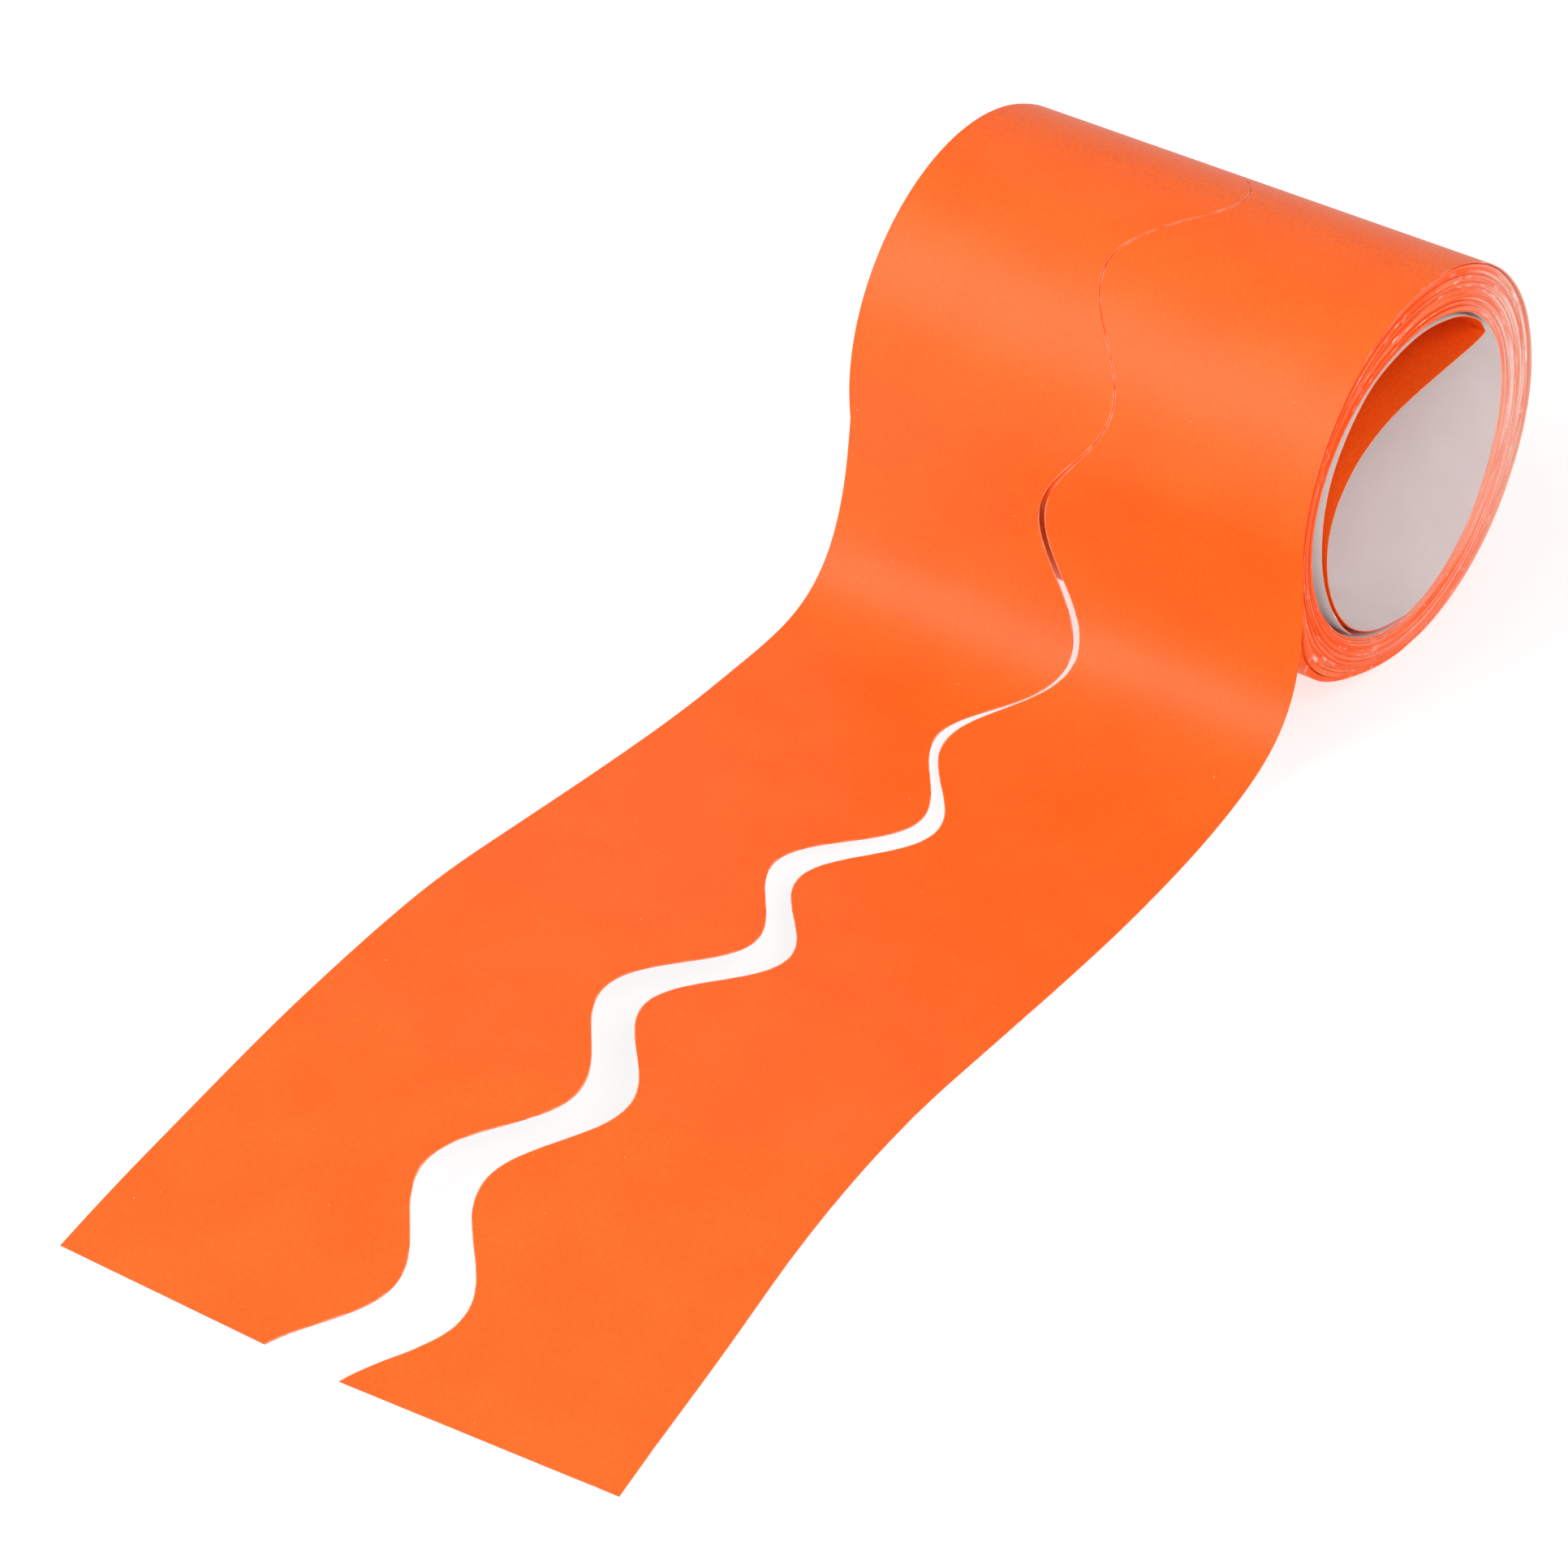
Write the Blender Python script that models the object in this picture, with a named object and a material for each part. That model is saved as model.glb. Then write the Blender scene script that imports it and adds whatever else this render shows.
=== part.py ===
"""Roll of wave-cut display border: one web of coloured paper, wound without a core and cut along its
middle by a wavy line into two strips. Both strips come over the top of the roll, down its front and out
along the table.

Metres, +Z up. The origin is on the table under the roll's axis, on the line that the wavy cut runs along.
+X runs along the roll's axis from the left strip to the right one, and the loose ends run towards -Y.
"""

import math
from collections import namedtuple

import bmesh
import bpy
from mathutils import Vector

# The web and its cut
WEB_WIDTH = 0.1016
WAVE_LENGTH = 0.0521
WAVE_AMPLITUDE = 0.0065
WAVE_START = 0.0328  # arc length from the top of the roll to where the cut first crosses its mean line
PAPER = 0.0003  # thickness of a loose stretch

# The roll
ROLL_RADIUS = 0.0404
BORE_RADIUS = 0.0317
BORE_SHIFT = -0.0025  # the turns lie tighter at the front, so the hollow sits forward of the axis
WAVES_ROUND_ROLL = 5
ROLL_SEGMENTS = 100
SAG = 0.0002  # the roll's own weight flattens it by this much where it rests
AXIS_HEIGHT = ROLL_RADIUS - SAG

# The loose ends, by arc length from the top of the roll
DEPARTURE = 0.0615  # the web leaves the front of the roll
TAIL_START = 0.1140
TIP_START = 0.2250
STRIP_END = 0.3272
STATION = 0.0037  # spacing of the cross-sections
HOP = 0.0005  # steps in which the web is followed from one cross-section to the next

# Clearances
CUT_GAP = 0.0004  # between the strips, measured along X
FOLD_GAP = 0.0004  # between stretches of one strip
ROLL_GAP = 0.0005  # between the roll and the paper that leaves it

# How steeply the web runs down, in degrees, at arc lengths from the top of the roll
RIGHT_SLOPES = (
    (0.0615, 87.2), (0.0836, 72.0), (0.1057, 20.0), (0.1279, 2.0), (0.1500, -3.5), (0.1722, -7.0),
    (0.2165, -8.0), (0.2386, -2.0), (0.2608, 5.0), (0.2829, 12.0), (0.3050, 9.5), (0.3272, 11.4),
)
LEFT_SLOPES = (
    (0.0615, 87.2), (0.0680, 84.0), (0.0899, 63.0), (0.1136, 6.0), (0.1373, -1.5), (0.1610, -6.0),
    (0.2085, -7.0), (0.2322, 0.5), (0.2560, 4.0), (0.2797, 7.5), (0.3035, 8.0), (0.3272, 11.4),
)
YAW_START = 0.055  # the strips begin to part here
YAW_END = 0.120
RIGHT_YAW = 4.6  # degrees that the strip's run turns towards +X
LEFT_YAW = 0.6

# The innermost turn has sprung away from the wall: its run, from the roll's axis, front foot to fold
INNER_TURN = (
    (-0.0196, -0.0250), (-0.0252, -0.0200), (-0.0289, -0.0130), (-0.0308, -0.0050), (-0.0304, 0.0020),
    (-0.0268, 0.0088), (-0.0205, 0.0128), (-0.0110, 0.0160), (-0.0010, 0.0170), (0.0110, 0.0172),
)
INNER_STEPS = 4  # cross-sections between two of those points
# Its end is folded back along the wall of the hollow, in degrees from the top towards the front
FOLD_RADIUS = 0.0008
FOLD_START = -180.0
FOLD_STEP = 21.0
FLAP_START = -54.0
FLAP_END = 140.0
FLAP_STEP = 4.0
FLAP_CLEARANCE = 0.0006  # from the wall to the middle of the paper

CORNERS = 4  # of every cross-section
SMOOTH_BELOW = math.radians(30.0)

ORANGE = (1.0, 0.14, 0.03, 1.0)
PAPER_ROUGHNESS = 0.55

Station = namedtuple("Station", "arc centre across normal")
Side = namedtuple("Side", "name sign slopes yaw")

RIGHT = Side("right", 1.0, RIGHT_SLOPES, RIGHT_YAW)
LEFT = Side("left", -1.0, LEFT_SLOPES, LEFT_YAW)


def clear_scene():
    for item in list(bpy.data.objects):
        bpy.data.objects.remove(item)


def paper_material(name):
    material = bpy.data.materials.new(name)
    material.use_nodes = True
    shader = material.node_tree.nodes["Principled BSDF"]
    shader.inputs["Base Color"].default_value = ORANGE
    shader.inputs["Roughness"].default_value = PAPER_ROUGHNESS
    shader.inputs["Metallic"].default_value = 0.0
    material.diffuse_color = ORANGE
    return material


def smoothstep(value):
    value = min(max(value, 0.0), 1.0)
    return value * value * (3.0 - 2.0 * value)


def catmull_rom(before, start, end, after, share):
    """A point of the smooth curve from start to end."""
    return 0.5 * (
        2.0 * start
        + (end - before) * share
        + (2.0 * before - 5.0 * start + 4.0 * end - after) * share**2
        + (3.0 * start - before - 3.0 * end + after) * share**3
    )


def slope_at(arc, slopes):
    """Downward angle of the web's run, in radians."""
    if arc <= DEPARTURE:
        return arc / ROLL_RADIUS
    last = len(slopes) - 1
    step = next((i for i in range(last) if arc <= slopes[i + 1][0]), last - 1)
    near = [math.radians(slopes[min(max(step + i, 0), last)][1]) for i in (-1, 0, 1, 2)]
    share = (arc - slopes[step][0]) / (slopes[step + 1][0] - slopes[step][0])
    return catmull_rom(*near, share)


def web_frame(side, arc):
    """The direction the web runs in, and the direction across it."""
    slope = slope_at(arc, side.slopes)
    yaw = math.radians(side.yaw) * smoothstep((arc - YAW_START) / (YAW_END - YAW_START))
    run = Vector((math.cos(slope) * math.sin(yaw), -math.cos(slope) * math.cos(yaw), -math.sin(slope)))
    return run, Vector((math.cos(yaw), math.sin(yaw), 0.0))


def web_stations(side, first, last):
    """Cross-sections of one strip from arc length first to last, followed from the top of the roll."""
    steps = max(round((last - first) / STATION), 1)
    point = Vector((0.0, 0.0, AXIS_HEIGHT + ROLL_RADIUS))
    arc = 0.0
    stations = []
    for index in range(steps + 1):
        wanted = first + (last - first) * index / steps
        hops = max(math.ceil((wanted - arc) / HOP), 1)
        hop = (wanted - arc) / hops
        for count in range(hops):
            point = point + web_frame(side, arc + (count + 0.5) * hop)[0] * hop
        arc = wanted
        run, across = web_frame(side, arc)
        stations.append(Station(arc, point, across, run.cross(across)))
    return stations


def cut_at(arc):
    """Where the wavy cut lies across the web, from its middle."""
    return WAVE_AMPLITUDE * math.sin(2.0 * math.pi * (arc - WAVE_START) / WAVE_LENGTH)


def closed_mesh(name, points, faces, material):
    mesh = bpy.data.meshes.new(name)
    builder = bmesh.new()
    verts = [builder.verts.new(point) for point in points]
    for face in faces:
        builder.faces.new([verts[index] for index in face])
    bmesh.ops.recalc_face_normals(builder, faces=builder.faces)
    builder.to_mesh(mesh)
    builder.free()
    mesh.materials.append(material)
    return mesh


def add_object(name, mesh, joint_point=(0.0, 0.0, 0.0)):
    """Puts the mesh, given in the part's frame, in an object whose origin is on its joint's axis."""
    origin = Vector(joint_point)
    for vertex in mesh.vertices:
        vertex.co -= origin
    thing = bpy.data.objects.new(name, mesh)
    thing.location = origin
    bpy.context.scene.collection.objects.link(thing)
    return thing


def band_faces(sections, closed=False):
    """Quads between neighbouring four-cornered cross-sections, which meet in a ring or end in caps."""
    faces = []
    for section in range(sections if closed else sections - 1):
        base = section * CORNERS
        onward = (section + 1) % sections * CORNERS
        for corner in range(CORNERS):
            following = (corner + 1) % CORNERS
            faces.append((base + corner, base + following, onward + following, onward + corner))
    if not closed:
        last = (sections - 1) * CORNERS
        faces.append(tuple(range(CORNERS)))
        faces.append(tuple(range(last, last + CORNERS)))
    return faces


def sheet_mesh(name, side, stations, material):
    """A stretch of one strip: straight on its outer edge, wavy along the cut."""
    points = []
    for station in stations:
        outer = side.sign * WEB_WIDTH / 2.0
        inner = cut_at(station.arc) + side.sign * CUT_GAP / 2.0
        lift = station.normal * (PAPER / 2.0)
        for offset, shift in ((outer, lift), (inner, lift), (inner, -lift), (outer, -lift)):
            points.append(station.centre + station.across * offset + shift)
    return closed_mesh(name, points, band_faces(len(stations)), material)


def coil(side):
    """The wound turns of one strip, as a ring whose face along the cut is wavy."""
    name = side.name + "_coil"
    outer_x = side.sign * WEB_WIDTH / 2.0
    phase = 2.0 * math.pi * WAVE_START / WAVE_LENGTH
    half_step = math.pi / ROLL_SEGMENTS  # puts the middle of a flat underneath
    points = []
    for index in range(ROLL_SEGMENTS):
        turn = 2.0 * math.pi * index / ROLL_SEGMENTS + half_step
        cut_x = WAVE_AMPLITUDE * math.sin(WAVES_ROUND_ROLL * turn - phase) + side.sign * CUT_GAP / 2.0
        along, up = -math.sin(turn), math.cos(turn)
        rim = (along * ROLL_RADIUS, max(AXIS_HEIGHT + up * ROLL_RADIUS, 0.0))
        bore = (BORE_SHIFT + along * BORE_RADIUS, AXIS_HEIGHT + up * BORE_RADIUS)
        for x, (y, z) in ((outer_x, rim), (cut_x, rim), (cut_x, bore), (outer_x, bore)):
            points.append(Vector((x, y, z)))
    mesh = closed_mesh(name, points, band_faces(ROLL_SEGMENTS, closed=True), paper_material(name))
    mesh.shade_smooth()
    mesh.set_sharp_from_angle(angle=SMOOTH_BELOW)
    return add_object(name, mesh)


def lead(side):
    """The web from the front of the roll, through its bend, to the table."""
    name = side.name + "_lead"
    stations = web_stations(side, DEPARTURE, TAIL_START - FOLD_GAP / 2.0)
    clear = Vector((0.0, -ROLL_GAP, 0.0))
    reach = len(stations) - 1
    stations = [
        item._replace(centre=item.centre + clear * (1.0 - index / reach))
        for index, item in enumerate(stations)
    ]
    return add_object(name, sheet_mesh(name, side, stations, paper_material(name)))


def free_panel(side, label, first, last):
    """A stretch that lifts about its first edge."""
    name = side.name + label
    stations = web_stations(side, first + FOLD_GAP / 2.0, last)
    fold = stations[0].centre + side.sign * stations[0].across * (WEB_WIDTH / 4.0)
    return add_object(name, sheet_mesh(name, side, stations, paper_material(name)), fold)


def on_circle(centre, radius, degrees):
    """A point of a circle across the roll's axis, in degrees from its top towards the front."""
    turn = math.radians(degrees)
    return centre + Vector((0.0, -math.sin(turn), math.cos(turn))) * radius


def arc_run(centre, radius, first, last, step):
    count = math.ceil((last - first) / step)
    return [on_circle(centre, radius, first + (last - first) * index / count) for index in range(count + 1)]


def inner_run():
    """The middle of the innermost turn: up the front, across to its fold, and back along the wall."""
    bore = Vector((0.0, BORE_SHIFT, AXIS_HEIGHT))
    flap_radius = BORE_RADIUS - FLAP_CLEARANCE
    fold = on_circle(bore, flap_radius - FOLD_RADIUS, FLAP_START)
    folded = arc_run(fold, FOLD_RADIUS, FOLD_START, FLAP_START, FOLD_STEP)
    flap = arc_run(bore, flap_radius, FLAP_START, FLAP_END, FLAP_STEP)
    knots = [Vector((0.0, y, AXIS_HEIGHT + z)) for y, z in INNER_TURN] + folded[:1]
    last = len(knots) - 1
    curve = []
    for index in range(last):
        near = [knots[min(max(index + i, 0), last)] for i in (-1, 0, 1, 2)]
        curve += [catmull_rom(*near, step / INNER_STEPS) for step in range(INNER_STEPS)]
    return curve + folded + flap[1:]


def inner_turn(side):
    """The innermost turn, sprung inwards from the wall of the hollow, with its end folded back."""
    name = side.name + "_inner_turn"
    curve = inner_run()
    across = Vector((1.0, 0.0, 0.0))
    stations = []
    arc = 0.0
    for index, point in enumerate(curve):
        if index:
            arc += (point - curve[index - 1]).length
        ahead = curve[min(index + 1, len(curve) - 1)] - curve[max(index - 1, 0)]
        stations.append(Station(arc, point, across, ahead.normalized().cross(across)))
    return add_object(name, sheet_mesh(name, side, stations, paper_material(name)))


def strip(side):
    coil(side)
    inner_turn(side)
    lead(side)
    free_panel(side, "_tail", TAIL_START, TIP_START - FOLD_GAP / 2.0)
    free_panel(side, "_tip", TIP_START, STRIP_END)


clear_scene()
for one_side in (LEFT, RIGHT):
    strip(one_side)
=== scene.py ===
"""Looks of the roll of wave-cut display border: wound orange paper with a white back, slit by a wavy line.

Metres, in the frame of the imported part: the origin is on the table under the roll's axis, +X runs along
that axis and the loose ends run towards -Y. The web is followed as one line, by its arc length from the
top of the roll: positive towards the loose ends, negative into the roll.
"""

import math
from collections import namedtuple

import bpy
import numpy as np
from mathutils import Matrix, Vector


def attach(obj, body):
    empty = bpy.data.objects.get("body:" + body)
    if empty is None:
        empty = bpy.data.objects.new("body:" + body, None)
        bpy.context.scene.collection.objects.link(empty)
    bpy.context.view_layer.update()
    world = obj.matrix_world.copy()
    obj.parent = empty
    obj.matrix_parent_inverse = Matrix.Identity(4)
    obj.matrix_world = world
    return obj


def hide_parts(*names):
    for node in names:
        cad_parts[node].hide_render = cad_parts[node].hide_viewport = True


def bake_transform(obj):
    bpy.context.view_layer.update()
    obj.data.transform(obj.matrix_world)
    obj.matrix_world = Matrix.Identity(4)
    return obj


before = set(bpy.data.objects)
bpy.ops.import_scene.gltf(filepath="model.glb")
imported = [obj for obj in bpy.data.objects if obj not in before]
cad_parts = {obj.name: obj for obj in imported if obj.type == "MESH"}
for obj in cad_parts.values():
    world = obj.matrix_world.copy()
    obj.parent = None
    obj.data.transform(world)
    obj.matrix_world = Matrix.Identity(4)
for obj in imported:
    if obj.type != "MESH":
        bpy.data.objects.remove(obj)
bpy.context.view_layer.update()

# The web and its cut, as in the part
WEB_WIDTH = 0.1016
WAVE_LENGTH = 0.0521
WAVE_AMPLITUDE = 0.0065
WAVE_START = 0.0328  # arc length where the cut first crosses its mean line

# The paper is thinner here than in the part, and its cut is finer
PAPER = 0.00016
CUT_GAP = 0.0002
FRAYED = 0.0002  # along the cut, this much of the face has lost its print

# The roll, as in the part
ROLL_RADIUS = 0.0404
AXIS_HEIGHT = 0.0402

# The loose ends, by arc length from the top of the roll, as in the part
DEPARTURE = 0.0615
TAIL_START = 0.1140
TIP_START = 0.2250
STRIP_END = 0.3272
# How steeply the web runs down, in degrees, at arc lengths from the top of the roll
RIGHT_SLOPES = (
    (0.0615, 87.2), (0.0836, 72.0), (0.1057, 20.0), (0.1279, 2.0), (0.1500, -3.5), (0.1722, -7.0),
    (0.2165, -8.0), (0.2386, -2.0), (0.2608, 5.0), (0.2829, 12.0), (0.3050, 9.5), (0.3272, 11.4),
)
LEFT_SLOPES = (
    (0.0615, 87.2), (0.0680, 84.0), (0.0899, 63.0), (0.1136, 6.0), (0.1373, -1.5), (0.1610, -6.0),
    (0.2085, -7.0), (0.2322, 0.5), (0.2560, 4.0), (0.2797, 7.5), (0.3035, 8.0), (0.3272, 11.4),
)
YAW_START = 0.055  # the strips begin to part here
YAW_END = 0.120
RIGHT_YAW = 4.6  # degrees that the strip's run turns towards +X
LEFT_YAW = 0.6
# The strips stand this far apart where their runs begin to part. The gap opens, and merges into the
# turning of the runs, over these arc lengths
PARTING = 0.0011
PARTING_OPENS = (0.050, 0.075)
PARTING_MERGES = (0.085, 0.130)

# The wound turns, counted inwards from where the web leaves the roll
TURNS = 25
TIGHT_PITCH = 0.000162  # what one tight turn adds to the radius
WALL_MEAN = 0.00807  # from the outside of the roll to its hollow
WALL_WAVES = ((-0.00294, 0.00038), (0.00011, 0.00073), (0.00027, 0.00055))  # sine and cosine, per turn
SEED = 7
SLACK_DRAWN = (0.1, 1.0)  # each turn's share of the slack is drawn from here, before the contrast
SLACK_CONTRAST = 2.0  # a few turns hold most of the slack
SLACK_TURNING = 0.7  # how far a turn's slack varies round the roll
SNUG_TURNS = 2  # the outermost turns lie close
SNUG_SHARE = 0.15
SWOLLEN = 0.9  # share of its slack that a turn fills, because damp paper cockles
BULGE = 0.0046  # the outer turns stand off at the lower front, behind the lead
BULGE_AT = 122.0  # degrees down from the top
BULGE_ABOVE = 14.0  # how fast it fades, in degrees
BULGE_BELOW = 24.0
BULGE_FROM = 0.5  # turns in, past the lap that leaves the roll
BULGE_KEPT = 0.70  # share of its bulge that a turn passes to the next one in
SPIRAL_END = 176.0  # degrees down from the top, where the innermost turn leaves the wall

# The innermost turn, from the roll's axis: up the front and across to a fold at the back
INNER_TURN = (
    (-0.0104, -0.0306), (-0.0153, -0.0286), (-0.0194, -0.0260), (-0.0226, -0.0232), (-0.0259, -0.0190),
    (-0.0284, -0.0143), (-0.0302, -0.0090), (-0.0309, -0.0040), (-0.0307, 0.0004), (-0.0296, 0.0043),
    (-0.0275, 0.0077), (-0.0245, 0.0108), (-0.0200, 0.0137), (-0.0138, 0.0159), (-0.0076, 0.0169),
    (-0.0005, 0.0172), (0.0062, 0.0172), (0.0125, 0.0171), (0.0190, 0.0170), (0.0228, 0.0173),
)
FOLD = ((0.0233, 0.0176), (0.0234, 0.0180), (0.0230, 0.0185))
# The flap comes back from the fold, white side outwards: degrees down from the top, and its clearance
# from the wall of the hollow
FLAP = (
    (-43.0, 0.0007), (-25.0, 0.0009), (0.0, 0.0008), (25.0, 0.0008), (42.0, 0.0015), (60.0, 0.0024),
    (75.0, 0.0031), (90.0, 0.0035), (103.0, 0.0032), (117.0, 0.0024), (130.0, 0.0013), (140.0, 0.0004),
)

# How finely the web is followed
FOLLOW = 0.0005
SPIRAL_STEP = 0.0018
LOOSE_STEP = 0.0013
INNER_STEP = 0.0010
COLUMNS_LOOSE = 9
COLUMNS_ROLLED = 2
UNDER_LAP = -0.2600  # where the finer mesh of the outer lap takes over, out of sight
RIGID_TAIL = 0.1750  # where the last mesh takes over, in a stretch that doesn't bend
SHARP_FROM = 50.0  # degrees between faces, from which an edge isn't shaded smooth

# Sideways wander of the wound turns
WANDER = 0.00035
WANDER_STEP = 0.5  # turns from one random move to the next
WANDER_SECOND = -0.0009  # the second turn stands out to the left
WANDER_SHARED = 0.4  # share of that by which the turns under it stand out, on average

# Reach either way from where the end starts; the web's line is read over this span and not used
TIP_BENDS = 0.025

# Colours
BLACK = (0.0, 0.0, 0.0)
WHITE = (1.0, 1.0, 1.0)
PRINT = ((0.97, 0.120, 0.0070), (0.98, 0.132, 0.0095))
PRINT_GRAIN = ((0.89, 0.89, 0.89), WHITE)
PRINT_FLECK = (1.0, 0.42, 0.22)
# One white back in two tones that stand in for light: a lifted back stands in full light and is painted
# darker, and the one in the hollow only gets what falls in and is painted lighter
BACK_TONE_FOR_FULL_LIGHT = ((0.68, 0.59, 0.58), (0.71, 0.62, 0.61))
BACK_TONE_FOR_HOLLOW_SHADE = ((0.785, 0.690, 0.676), (0.815, 0.720, 0.706))
# Between the wound turns the white back is painted orange: a painted reflection of the orange light
# bounced between the turns
BACK_BETWEEN_TURNS_PAINTED_BOUNCE = ((0.96, 0.50, 0.36), (0.97, 0.58, 0.44))
# Cut edges: orange, with a paler painted highlight towards the back of the roll
EDGE_ORANGE_TONES = ((0.97, 0.10, 0.010), (0.96, 0.23, 0.10))
EDGE_PAINTED_HIGHLIGHT = ((0.84, 0.22, 0.13), (0.88, 0.56, 0.50))
EDGE_TORN = (0.94, 0.70, 0.63)
RIM = ((0.97, 0.13, 0.02), (0.95, 0.40, 0.27))
EDGE_HIGHLIGHT_FROM_TO = (0.014, 0.034)  # the edges turn from orange to the paler painted highlight here, towards the back of the roll

# The studio: a table of white acrylic, lit from below, and two soft lights
FLOOR_REACH = 6.0
FLOOR_UNDER = 0.0003  # the paper lies on a hair's breadth of air, so that no two faces coincide
FLOOR_GREY = (0.38, 0.38, 0.38)
FLOOR_GLOW = 0.68
SKY_STRENGTH = 0.55
SOFTBOX_SIZE = 1.1
SOFTBOXES = (
    ("softbox_front_left", (-0.72, -1.05, 1.05), 16.0),
    ("softbox_right", (1.10, -0.70, 1.10), 12.5),
)
SOFTBOX_AIM = (0.0, -0.08, 0.03)

# The camera
CAMERA_AZIMUTH = 37.893
CAMERA_ELEVATION = 37.382
CAMERA_ROLL = -2.442
CAMERA_AIM = (-0.03123, -0.0920, -0.01073)
CAMERA_DISTANCE = 1.25615
LENS = 152.47
SENSOR_WIDTH = 36.0

Side = namedtuple("Side", "name sign slopes yaw")
Web = namedtuple("Web", "arc centre across normal shift thickness under")

RIGHT = Side("right", 1.0, RIGHT_SLOPES, RIGHT_YAW)
LEFT = Side("left", -1.0, LEFT_SLOPES, LEFT_YAW)

ON_FACE, ON_LOOSE_BACK, ON_HOLLOW_BACK, ON_WITHIN, ON_EDGE, ON_RIM = range(6)


def smoothstep(value):
    """Rises from 0 to 1 with level ends."""
    value = np.clip(value, 0.0, 1.0)
    return value * value * (3.0 - 2.0 * value)


def catmull_rom(knots, values, wanted):
    """Smooth curve through values at knots, read at the wanted places."""
    knots, values, wanted = (np.asarray(item, float) for item in (knots, values, wanted))
    last = len(knots) - 1
    step = np.clip(np.searchsorted(knots, wanted, side="right") - 1, 0, last - 1)
    before, start, end, after = (values[np.clip(step + i, 0, last)] for i in (-1, 0, 1, 2))
    share = (wanted - knots[step]) / (knots[step + 1] - knots[step])
    if values.ndim == 2:
        share = share[:, None]
    return 0.5 * (
        2.0 * start
        + (end - before) * share
        + (2.0 * before - 5.0 * start + 4.0 * end - after) * share**2
        + (3.0 * start - before - 3.0 * end + after) * share**3
    )


def run_and_across(slope, yaw):
    """The direction the web runs in, and the direction across it, for angles in radians."""
    level = np.cos(slope)
    run = np.stack([level * np.sin(yaw), -level * np.cos(yaw), -np.sin(slope)], -1)
    return run, np.stack([np.cos(yaw), np.sin(yaw), 0.0 * yaw], -1)


def parting(arc):
    """How far a strip has moved off its mate, before its run turns away from it."""
    opened, merged = (
        smoothstep((arc - first) / (last - first)) for first, last in (PARTING_OPENS, PARTING_MERGES)
    )
    return PARTING / 2.0 * (opened - merged)


def loose_web(side, first, last, step):
    """The web from arc length first to last, past the top of the roll."""
    fine = np.arange(0.0, STRIP_END + FOLLOW, FOLLOW)
    knots, degrees = zip(*side.slopes)
    slope = np.where(fine <= DEPARTURE, fine / ROLL_RADIUS, np.radians(catmull_rom(knots, degrees, fine)))
    yaw = math.radians(side.yaw) * smoothstep((fine - YAW_START) / (YAW_END - YAW_START))
    run, across = run_and_across(slope, yaw)
    hops = (run[1:] + run[:-1]) / 2.0 * FOLLOW
    start = np.array([0.0, 0.0, AXIS_HEIGHT + ROLL_RADIUS])
    centre = start + np.concatenate([np.zeros((1, 3)), np.cumsum(hops, axis=0)])
    count = max(round((last - first) / step), 1)
    arc = np.linspace(first, last, count + 1)

    def at(values):
        return np.stack([np.interp(arc, fine, values[:, i]) for i in range(3)], -1)

    normal = np.cross(run, across)
    shift = side.sign * parting(arc)
    thickness = np.full(len(arc), PAPER)
    under = np.full(len(arc), ON_LOOSE_BACK)
    return Web(arc, at(centre), at(across), at(normal), shift, thickness, under)


def wall_thickness(turned):
    """From the outside of the roll to its hollow, at angles down from the top."""
    thickness = WALL_MEAN
    for times, (sine, cosine) in enumerate(WALL_WAVES, start=1):
        thickness = thickness + sine * np.sin(times * turned) + cosine * np.cos(times * turned)
    return thickness


def slack_share(turned, inwards):
    """How much of the wall's slack lies outside this turn: 0 at the outermost, 1 at the hollow."""
    chance = np.random.default_rng(SEED)
    share = chance.uniform(*SLACK_DRAWN, TURNS) ** SLACK_CONTRAST
    phase = chance.uniform(0.0, 2.0 * math.pi, TURNS)
    share[:SNUG_TURNS] *= SNUG_SHARE
    weight = share * (1.0 + SLACK_TURNING * np.sin(turned[:, None] + phase))
    passed = np.clip(inwards[:, None] - np.arange(TURNS), 0.0, 1.0)
    return (weight * passed).sum(1) / weight.sum(1)


def bulge(turned, inwards):
    """Extra radius of the outer turns at the lower front."""
    degrees = np.mod(np.degrees(turned), 360.0) - BULGE_AT
    spread = np.where(degrees < 0.0, BULGE_ABOVE, BULGE_BELOW)
    short_of_a_turn = (BULGE_AT - math.degrees(DEPARTURE / ROLL_RADIUS)) / 360.0
    turn = np.maximum(np.round(inwards + short_of_a_turn) - 1.0, 0.0)
    height = BULGE * BULGE_KEPT**turn * np.exp(-((degrees / spread) ** 2))
    return np.where(inwards > BULGE_FROM, height, 0.0)


def wander(inwards):
    """How far the web has moved sideways."""
    chance = np.random.default_rng(SEED + 1)
    knots = np.arange(0.0, TURNS + 3.0, WANDER_STEP)
    moves = chance.uniform(-1.0, 1.0, len(knots)) * WANDER + WANDER_SECOND * WANDER_SHARED
    moves[knots < 2.0] = WANDER_SECOND
    moves[knots < 1.0] = 0.0
    return np.interp(inwards, knots, moves)


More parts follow.
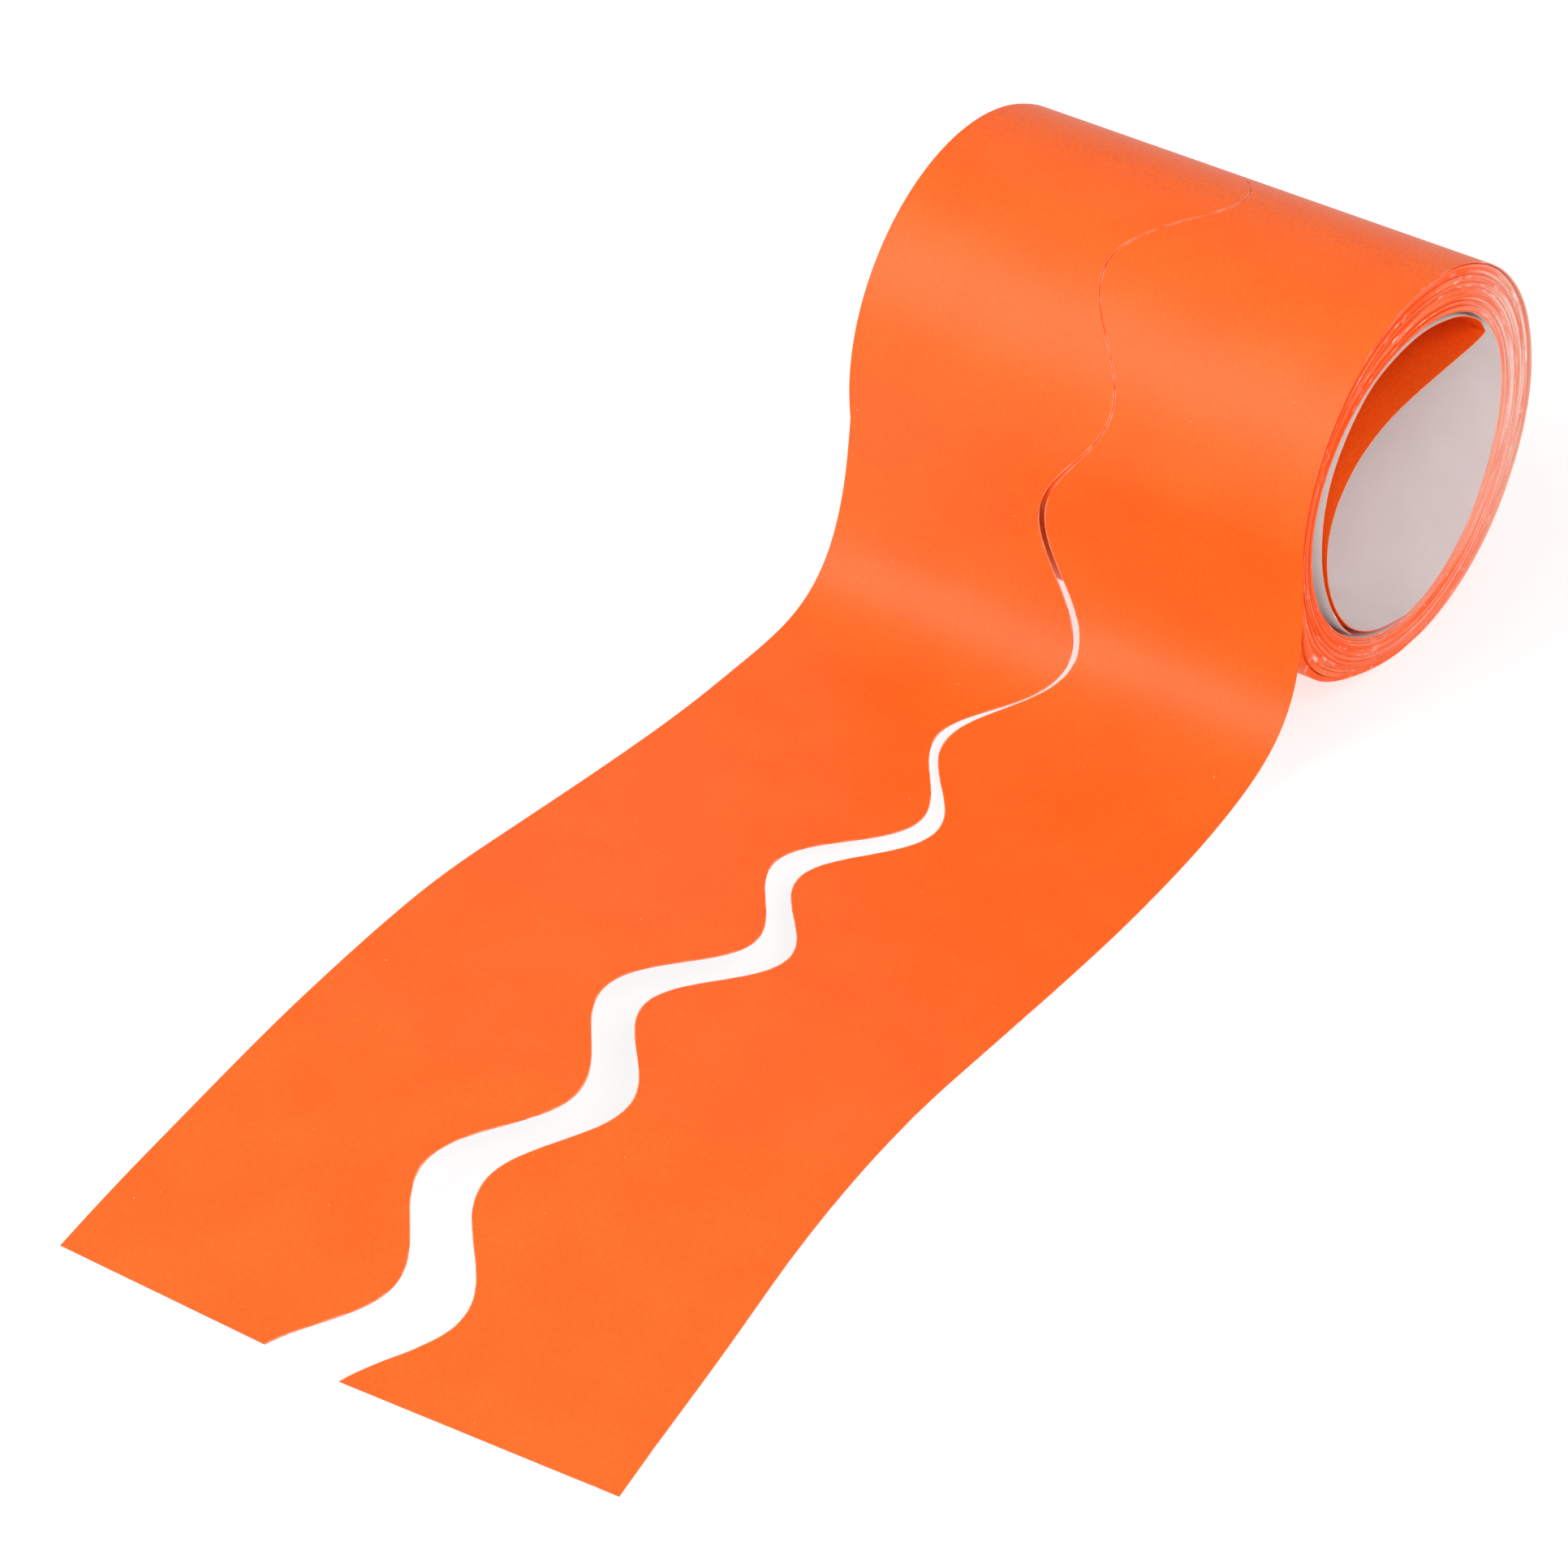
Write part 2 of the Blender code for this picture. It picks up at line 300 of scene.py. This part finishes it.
def rolled_points():
    """The spiral in the plane across the axis, from where the web leaves the roll inwards."""
    leaving = DEPARTURE / ROLL_RADIUS
    turns = TURNS - 1 + (math.degrees(leaving) - SPIRAL_END + 360.0) / 360.0
    count = round(turns * 2.0 * math.pi * ROLL_RADIUS / SPIRAL_STEP)
    inwards = np.linspace(0.0, turns, count + 1)
    turned = leaving - 2.0 * math.pi * inwards

    def radius_at(count_in):
        slack = (wall_thickness(turned) - TIGHT_PITCH * TURNS) * slack_share(turned, count_in)
        return ROLL_RADIUS - TIGHT_PITCH * count_in - slack + bulge(turned, count_in)

    radius = radius_at(inwards)
    room = radius - radius_at(np.minimum(inwards + 1.0, TURNS))
    last_turn = smoothstep(turns - inwards)
    thickness = PAPER + SWOLLEN * np.maximum(room - TIGHT_PITCH, 0.0) * last_turn * smoothstep(inwards)
    along = -np.sin(turned) * radius
    up = np.maximum(np.cos(turned) * radius, PAPER / 2.0 - AXIS_HEIGHT)
    return np.stack([along, up], -1), inwards, thickness


def inner_points(spiral):
    """The innermost turn with its fold and flap, carried on from the spiral's inner end."""
    degrees, clearance = np.array(FLAP).T
    turned = np.radians(degrees)
    radius = ROLL_RADIUS - wall_thickness(turned) - clearance
    flap = np.stack([-np.sin(turned), np.cos(turned)], -1) * radius[:, None]
    knots = np.array([spiral[-3], spiral[-1], *INNER_TURN, *FOLD, *flap])
    distance = np.concatenate([[0.0], np.cumsum(np.linalg.norm(np.diff(knots, axis=0), axis=1))])
    return catmull_rom(distance, knots, np.arange(distance[1] + INNER_STEP, distance[-1], INNER_STEP))


def rolled_web():
    """The wound web from the inner end of its flap to where it leaves the roll."""
    spiral, inwards, thickness = rolled_points()
    inner = inner_points(spiral)
    run = np.concatenate([spiral, inner])[::-1]
    inwards = np.concatenate([inwards, np.full(len(inner), inwards[-1])])[::-1]
    thickness = np.concatenate([thickness, np.full(len(inner), PAPER)])[::-1]
    hops = np.linalg.norm(np.diff(run, axis=0), axis=1)
    arc = np.concatenate([[0.0], np.cumsum(hops)])
    arc += DEPARTURE - arc[-1]
    centre = np.stack([0.0 * arc, run[:, 0], run[:, 1] + AXIS_HEIGHT], -1)
    ahead = np.gradient(centre, axis=0)
    ahead /= np.linalg.norm(ahead, axis=1)[:, None]
    across = np.tile([1.0, 0.0, 0.0], (len(arc), 1))
    under = np.where(inwards < inwards[0] - 1.0, ON_WITHIN, ON_HOLLOW_BACK)
    return Web(arc, centre, across, np.cross(ahead, across), wander(inwards), thickness, under)


def stretch(web, keep):
    """The kept part of a web."""
    return Web(*(values[keep] for values in web))


def joined(first, second):
    """Two webs, end to end."""
    return Web(*(np.concatenate(pair) for pair in zip(first, second)))


def cut_at(arc):
    """Where the wavy cut lies across the web, from its middle."""
    return WAVE_AMPLITUDE * np.sin(2.0 * math.pi * (arc - WAVE_START) / WAVE_LENGTH)


def paper_faces(rows, columns, frayed, under):
    """Quads of a thin solid whose rows are rings of points, with the material of each."""
    ring = 2 * (columns + 1)
    quads = []
    materials = []
    for row in range(rows - 1):
        for spot in range(ring):
            after = (spot + 1) % ring
            base, onward = row * ring, (row + 1) * ring
            quads.append((base + spot, onward + spot, onward + after, base + after))
            if spot == frayed:
                materials.append(ON_RIM)
            elif spot < columns:
                materials.append(ON_FACE)
            elif columns < spot < ring - 1:
                materials.append(int(under[row]))
            else:
                materials.append(ON_EDGE)
    last = (rows - 1) * ring
    for spot in range(columns):
        below = ring - 1 - spot
        quads.append((spot, spot + 1, below - 1, below))
        quads.append((last + spot, last + below, last + below - 1, last + spot + 1))
        materials += [ON_EDGE, ON_EDGE]
    return quads, materials


def paper_mesh(name, side, web, columns, materials):
    """One strip of the web as a thin solid, straight on its outer edge and wavy along the cut."""
    inner = (cut_at(web.arc) + side.sign * CUT_GAP / 2.0)[:, None]
    printed = inner + side.sign * FRAYED
    share = np.linspace(0.0, 1.0, columns)
    offset = np.concatenate([inner, printed + (side.sign * WEB_WIDTH / 2.0 - printed) * share], axis=1)
    offset += web.shift[:, None]
    frayed = 0
    if side.sign < 0.0:
        offset = offset[:, ::-1]
        frayed = columns - 1
    middle = web.centre[:, None, :] + web.across[:, None, :] * offset[:, :, None]
    top = web.normal[:, None, :] * (PAPER / 2.0)
    under = web.normal[:, None, :] * (web.thickness - PAPER / 2.0)[:, None, None]
    points = np.concatenate([middle + top, (middle - under)[:, ::-1]], axis=1)
    places = np.concatenate([offset, offset[:, ::-1]], axis=1)
    lengths = np.repeat(web.arc[:, None], places.shape[1], axis=1)
    quads, indices = paper_faces(len(web.arc), columns, frayed, web.under)
    mesh = bpy.data.meshes.new(name)
    mesh.from_pydata(points.reshape(-1, 3).tolist(), [], quads)
    for material in materials:
        mesh.materials.append(material)
    mesh.polygons.foreach_set("material_index", indices)
    corners = np.zeros(len(mesh.loops), int)
    mesh.loops.foreach_get("vertex_index", corners)
    spots = np.stack([places.ravel(), lengths.ravel()], -1)[corners]
    mesh.uv_layers.new(name="web").data.foreach_set("uv", spots.ravel())
    mesh.shade_smooth()
    mesh.set_sharp_from_angle(angle=math.radians(SHARP_FROM))
    piece = bpy.data.objects.new(name, mesh)
    bpy.context.scene.collection.objects.link(piece)
    return piece


def shader_of(material):
    return next(node for node in material.node_tree.nodes if node.type == "BSDF_PRINCIPLED")


def new_material(name, roughness, shine):
    """A material with its own Principled shader."""
    material = bpy.data.materials.new(name)
    material.use_nodes = True
    shader_of(material).inputs["Roughness"].default_value = roughness
    shader_of(material).inputs["Specular IOR Level"].default_value = shine
    return material


def noise(material, per_metre, detail, stretch_along=1.0):
    """Noise over the flat web, drawn out along its length if wanted."""
    nodes, links = material.node_tree.nodes, material.node_tree.links
    flat = nodes.new("ShaderNodeUVMap")
    flat.uv_map = "web"
    sized = nodes.new("ShaderNodeMapping")
    sized.inputs["Scale"].default_value = (per_metre, per_metre / stretch_along, 1.0)
    texture = nodes.new("ShaderNodeTexNoise")
    texture.inputs["Scale"].default_value = 1.0
    texture.inputs["Detail"].default_value = detail
    links.new(flat.outputs["UV"], sized.inputs["Vector"])
    links.new(sized.outputs["Vector"], texture.inputs["Vector"])
    return texture.outputs["Fac"]


def share_backwards(material, first, last):
    """Rises from 0 to 1 between two depths, towards the back of the roll."""
    nodes, links = material.node_tree.nodes, material.node_tree.links
    split = nodes.new("ShaderNodeSeparateXYZ")
    scale = nodes.new("ShaderNodeMapRange")
    scale.inputs["From Min"].default_value = first
    scale.inputs["From Max"].default_value = last
    links.new(nodes.new("ShaderNodeTexCoord").outputs["Object"], split.inputs["Vector"])
    links.new(split.outputs["Y"], scale.inputs["Value"])
    return scale.outputs["Result"]


def tones(material, driver, dark, light, low=0.35, high=0.65):
    """A colour between dark and light, as the driver goes from low to high."""
    nodes, links = material.node_tree.nodes, material.node_tree.links
    ramp = nodes.new("ShaderNodeValToRGB")
    ramp.color_ramp.elements[0].position = low
    ramp.color_ramp.elements[0].color = (*dark, 1.0)
    ramp.color_ramp.elements[1].position = high
    ramp.color_ramp.elements[1].color = (*light, 1.0)
    links.new(driver, ramp.inputs["Fac"])
    return ramp.outputs["Color"]


def mixed(material, factor, first, second, kind="MIX"):
    """Two colours mixed. Each input is a value or another node's output."""
    nodes, links = material.node_tree.nodes, material.node_tree.links
    mix = nodes.new("ShaderNodeMix")
    mix.data_type = "RGBA"
    mix.blend_type = kind
    for socket, value in ((mix.inputs[0], factor), (mix.inputs[6], first), (mix.inputs[7], second)):
        if isinstance(value, bpy.types.NodeSocket):
            links.new(value, socket)
        else:
            socket.default_value = value
    return mix.outputs[2]


def bumped(material, driver, strength, depth):
    """Relief on the material's shader."""
    nodes, links = material.node_tree.nodes, material.node_tree.links
    bump = nodes.new("ShaderNodeBump")
    bump.inputs["Strength"].default_value = strength
    bump.inputs["Distance"].default_value = depth
    links.new(driver, bump.inputs["Height"])
    links.new(bump.outputs["Normal"], shader_of(material).inputs["Normal"])


def coloured(material, colour):
    material.node_tree.links.new(colour, shader_of(material).inputs["Base Color"])


def face_material():
    """Orange, satin, printed side."""
    material = new_material("orange_face", roughness=0.46, shine=0.29)
    colour = tones(material, noise(material, per_metre=60.0, detail=3.0), *PRINT)
    grain = noise(material, per_metre=1500.0, detail=3.0, stretch_along=2.0)
    colour = mixed(material, 1.0, colour, tones(material, grain, *PRINT_GRAIN), "MULTIPLY")
    flecks = noise(material, per_metre=900.0, detail=2.0)
    pale = tones(material, flecks, BLACK, WHITE, low=0.77, high=0.80)
    coloured(material, mixed(material, pale, colour, (*PRINT_FLECK, 1.0)))
    fibre = noise(material, per_metre=2600.0, detail=4.0, stretch_along=1.8)
    bumped(material, fibre, strength=0.5, depth=0.00005)
    return material


def back_material(name, shades):
    """Uncoated side."""
    material = new_material(name, roughness=0.8, shine=0.3)
    coloured(material, tones(material, noise(material, per_metre=90.0, detail=4.0), *shades))
    fibre = noise(material, per_metre=1800.0, detail=4.0, stretch_along=1.8)
    bumped(material, fibre, strength=0.4, depth=0.00005)
    return material


def edge_material():
    """Cut edges: orange towards the front of the roll, paler towards its back as a painted highlight,
    white where they are torn.
    """
    material = new_material("cut_edge", roughness=0.85, shine=0.3)
    streaks = noise(material, per_metre=45.0, detail=5.0)
    orange_edge = tones(material, streaks, *EDGE_ORANGE_TONES, low=0.42, high=0.68)
    highlit_edge = tones(material, streaks, *EDGE_PAINTED_HIGHLIGHT, low=0.40, high=0.62)
    # paler towards the back of the roll: a painted highlight
    colour = mixed(material, share_backwards(material, *EDGE_HIGHLIGHT_FROM_TO), orange_edge, highlit_edge)
    torn = tones(material, noise(material, per_metre=170.0, detail=4.0), BLACK, WHITE, low=0.60, high=0.78)
    coloured(material, mixed(material, torn, colour, (*EDGE_TORN, 1.0)))
    return material


def rim_material():
    """The frayed rim of the face along the cut: print with bare fibres showing through."""
    material = new_material("frayed_rim", roughness=0.8, shine=0.3)
    torn = noise(material, per_metre=260.0, detail=4.0)
    coloured(material, tones(material, torn, *RIM, low=0.40, high=0.70))
    return material


def paper_materials():
    """One material for each part of the paper, in the order of ON_FACE, ON_LOOSE_BACK and so on."""
    return (
        face_material(),
        # the same back in two tones that stand in for light: darker where it lifts into full light,
        # lighter in the shaded hollow
        back_material("white_back_toned_for_full_light", BACK_TONE_FOR_FULL_LIGHT),
        back_material("back_toned_for_hollow_shade", BACK_TONE_FOR_HOLLOW_SHADE),
        # white back painted orange, for the light bounced between the turns
        back_material("back_between_turns_painted_bounce", BACK_BETWEEN_TURNS_PAINTED_BOUNCE),
        edge_material(),
        rim_material(),
    )


def strip(side, rolled, materials):
    """The three meshes of one strip: the wound turns, the outer lap with its lead, and the end."""
    hidden = int(np.searchsorted(rolled.arc, UNDER_LAP))
    wound = stretch(rolled, slice(0, hidden + 1))
    lap = stretch(rolled, slice(hidden, -1))
    lap = lap._replace(shift=lap.shift + side.sign * parting(lap.arc))
    out = loose_web(side, DEPARTURE, RIGID_TAIL, LOOSE_STEP)
    end = loose_web(side, RIGID_TAIL, STRIP_END, LOOSE_STEP)

    coil = paper_mesh(side.name + "_wound_turns", side, wound, COLUMNS_ROLLED, materials)
    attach(coil, side.name + "_coil")
    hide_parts(side.name + "_coil", side.name + "_inner_turn")

    lead = paper_mesh(side.name + "_lap_and_lead", side, joined(lap, out), COLUMNS_LOOSE, materials)
    fold = Vector(loose_web(side, TAIL_START, STRIP_END, LOOSE_STEP).centre[0])
    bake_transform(lead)
    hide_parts(side.name + "_lead", side.name + "_tail")

    tip = paper_mesh(side.name + "_end", side, end, COLUMNS_LOOSE, materials)
    around = loose_web(side, TIP_START - TIP_BENDS, TIP_START + TIP_BENDS, TIP_BENDS).centre
    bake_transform(tip)
    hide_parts(side.name + "_tip")


def floor():
    """The table top, which glows so that it shows pure white."""
    material = new_material("studio_floor", roughness=0.9, shine=0.2)
    shader = shader_of(material)
    shader.inputs["Base Color"].default_value = (*FLOOR_GREY, 1.0)
    shader.inputs["Emission Color"].default_value = (*WHITE, 1.0)
    shader.inputs["Emission Strength"].default_value = FLOOR_GLOW
    near, far = -FLOOR_REACH, FLOOR_REACH
    corners = [(x, y, -FLOOR_UNDER) for x, y in ((near, near), (far, near), (far, far), (near, far))]
    mesh = bpy.data.meshes.new("studio_floor")
    mesh.from_pydata(corners, [], [(0, 1, 2, 3)])
    mesh.materials.append(material)
    piece = bpy.data.objects.new("studio_floor", mesh)
    bpy.context.scene.collection.objects.link(piece)


def softbox(name, place, power):
    light = bpy.data.lights.new(name, "AREA")
    light.shape = "SQUARE"
    light.size = SOFTBOX_SIZE
    light.energy = power
    thing = bpy.data.objects.new(name, light)
    thing.location = place
    thing.rotation_mode = "QUATERNION"
    thing.rotation_quaternion = (Vector(SOFTBOX_AIM) - Vector(place)).to_track_quat("-Z", "Y")
    bpy.context.scene.collection.objects.link(thing)


def studio_light():
    world = bpy.data.worlds.new("studio")
    world.use_nodes = True
    background = world.node_tree.nodes["Background"]
    background.inputs["Color"].default_value = (*WHITE, 1.0)
    background.inputs["Strength"].default_value = SKY_STRENGTH
    bpy.context.scene.world = world
    for box in SOFTBOXES:
        softbox(*box)
    bpy.context.scene.view_settings.view_transform = "Standard"


def camera():
    """Looks at its aim from an azimuth and an elevation in degrees, and leans by its roll."""
    azimuth, elevation, roll = (
        math.radians(angle) for angle in (CAMERA_AZIMUTH, CAMERA_ELEVATION, CAMERA_ROLL)
    )
    back = Vector((
        math.sin(azimuth) * math.cos(elevation),
        -math.cos(azimuth) * math.cos(elevation),
        math.sin(elevation),
    ))
    level = Vector((math.cos(azimuth), math.sin(azimuth), 0.0))
    upright = back.cross(level)
    right = level * math.cos(roll) + upright * math.sin(roll)
    up = upright * math.cos(roll) - level * math.sin(roll)
    data = bpy.data.cameras.new("camera")
    data.lens = LENS
    data.sensor_width = SENSOR_WIDTH
    thing = bpy.data.objects.new("camera", data)
    place = Matrix((right, up, back)).transposed().to_4x4()
    place.translation = Vector(CAMERA_AIM) + back * CAMERA_DISTANCE
    thing.matrix_world = place
    bpy.context.scene.collection.objects.link(thing)
    bpy.context.scene.camera = thing


paper = paper_materials()
wound_web = rolled_web()
for one_side in (LEFT, RIGHT):
    strip(one_side, wound_web, paper)
floor()
studio_light()
camera()
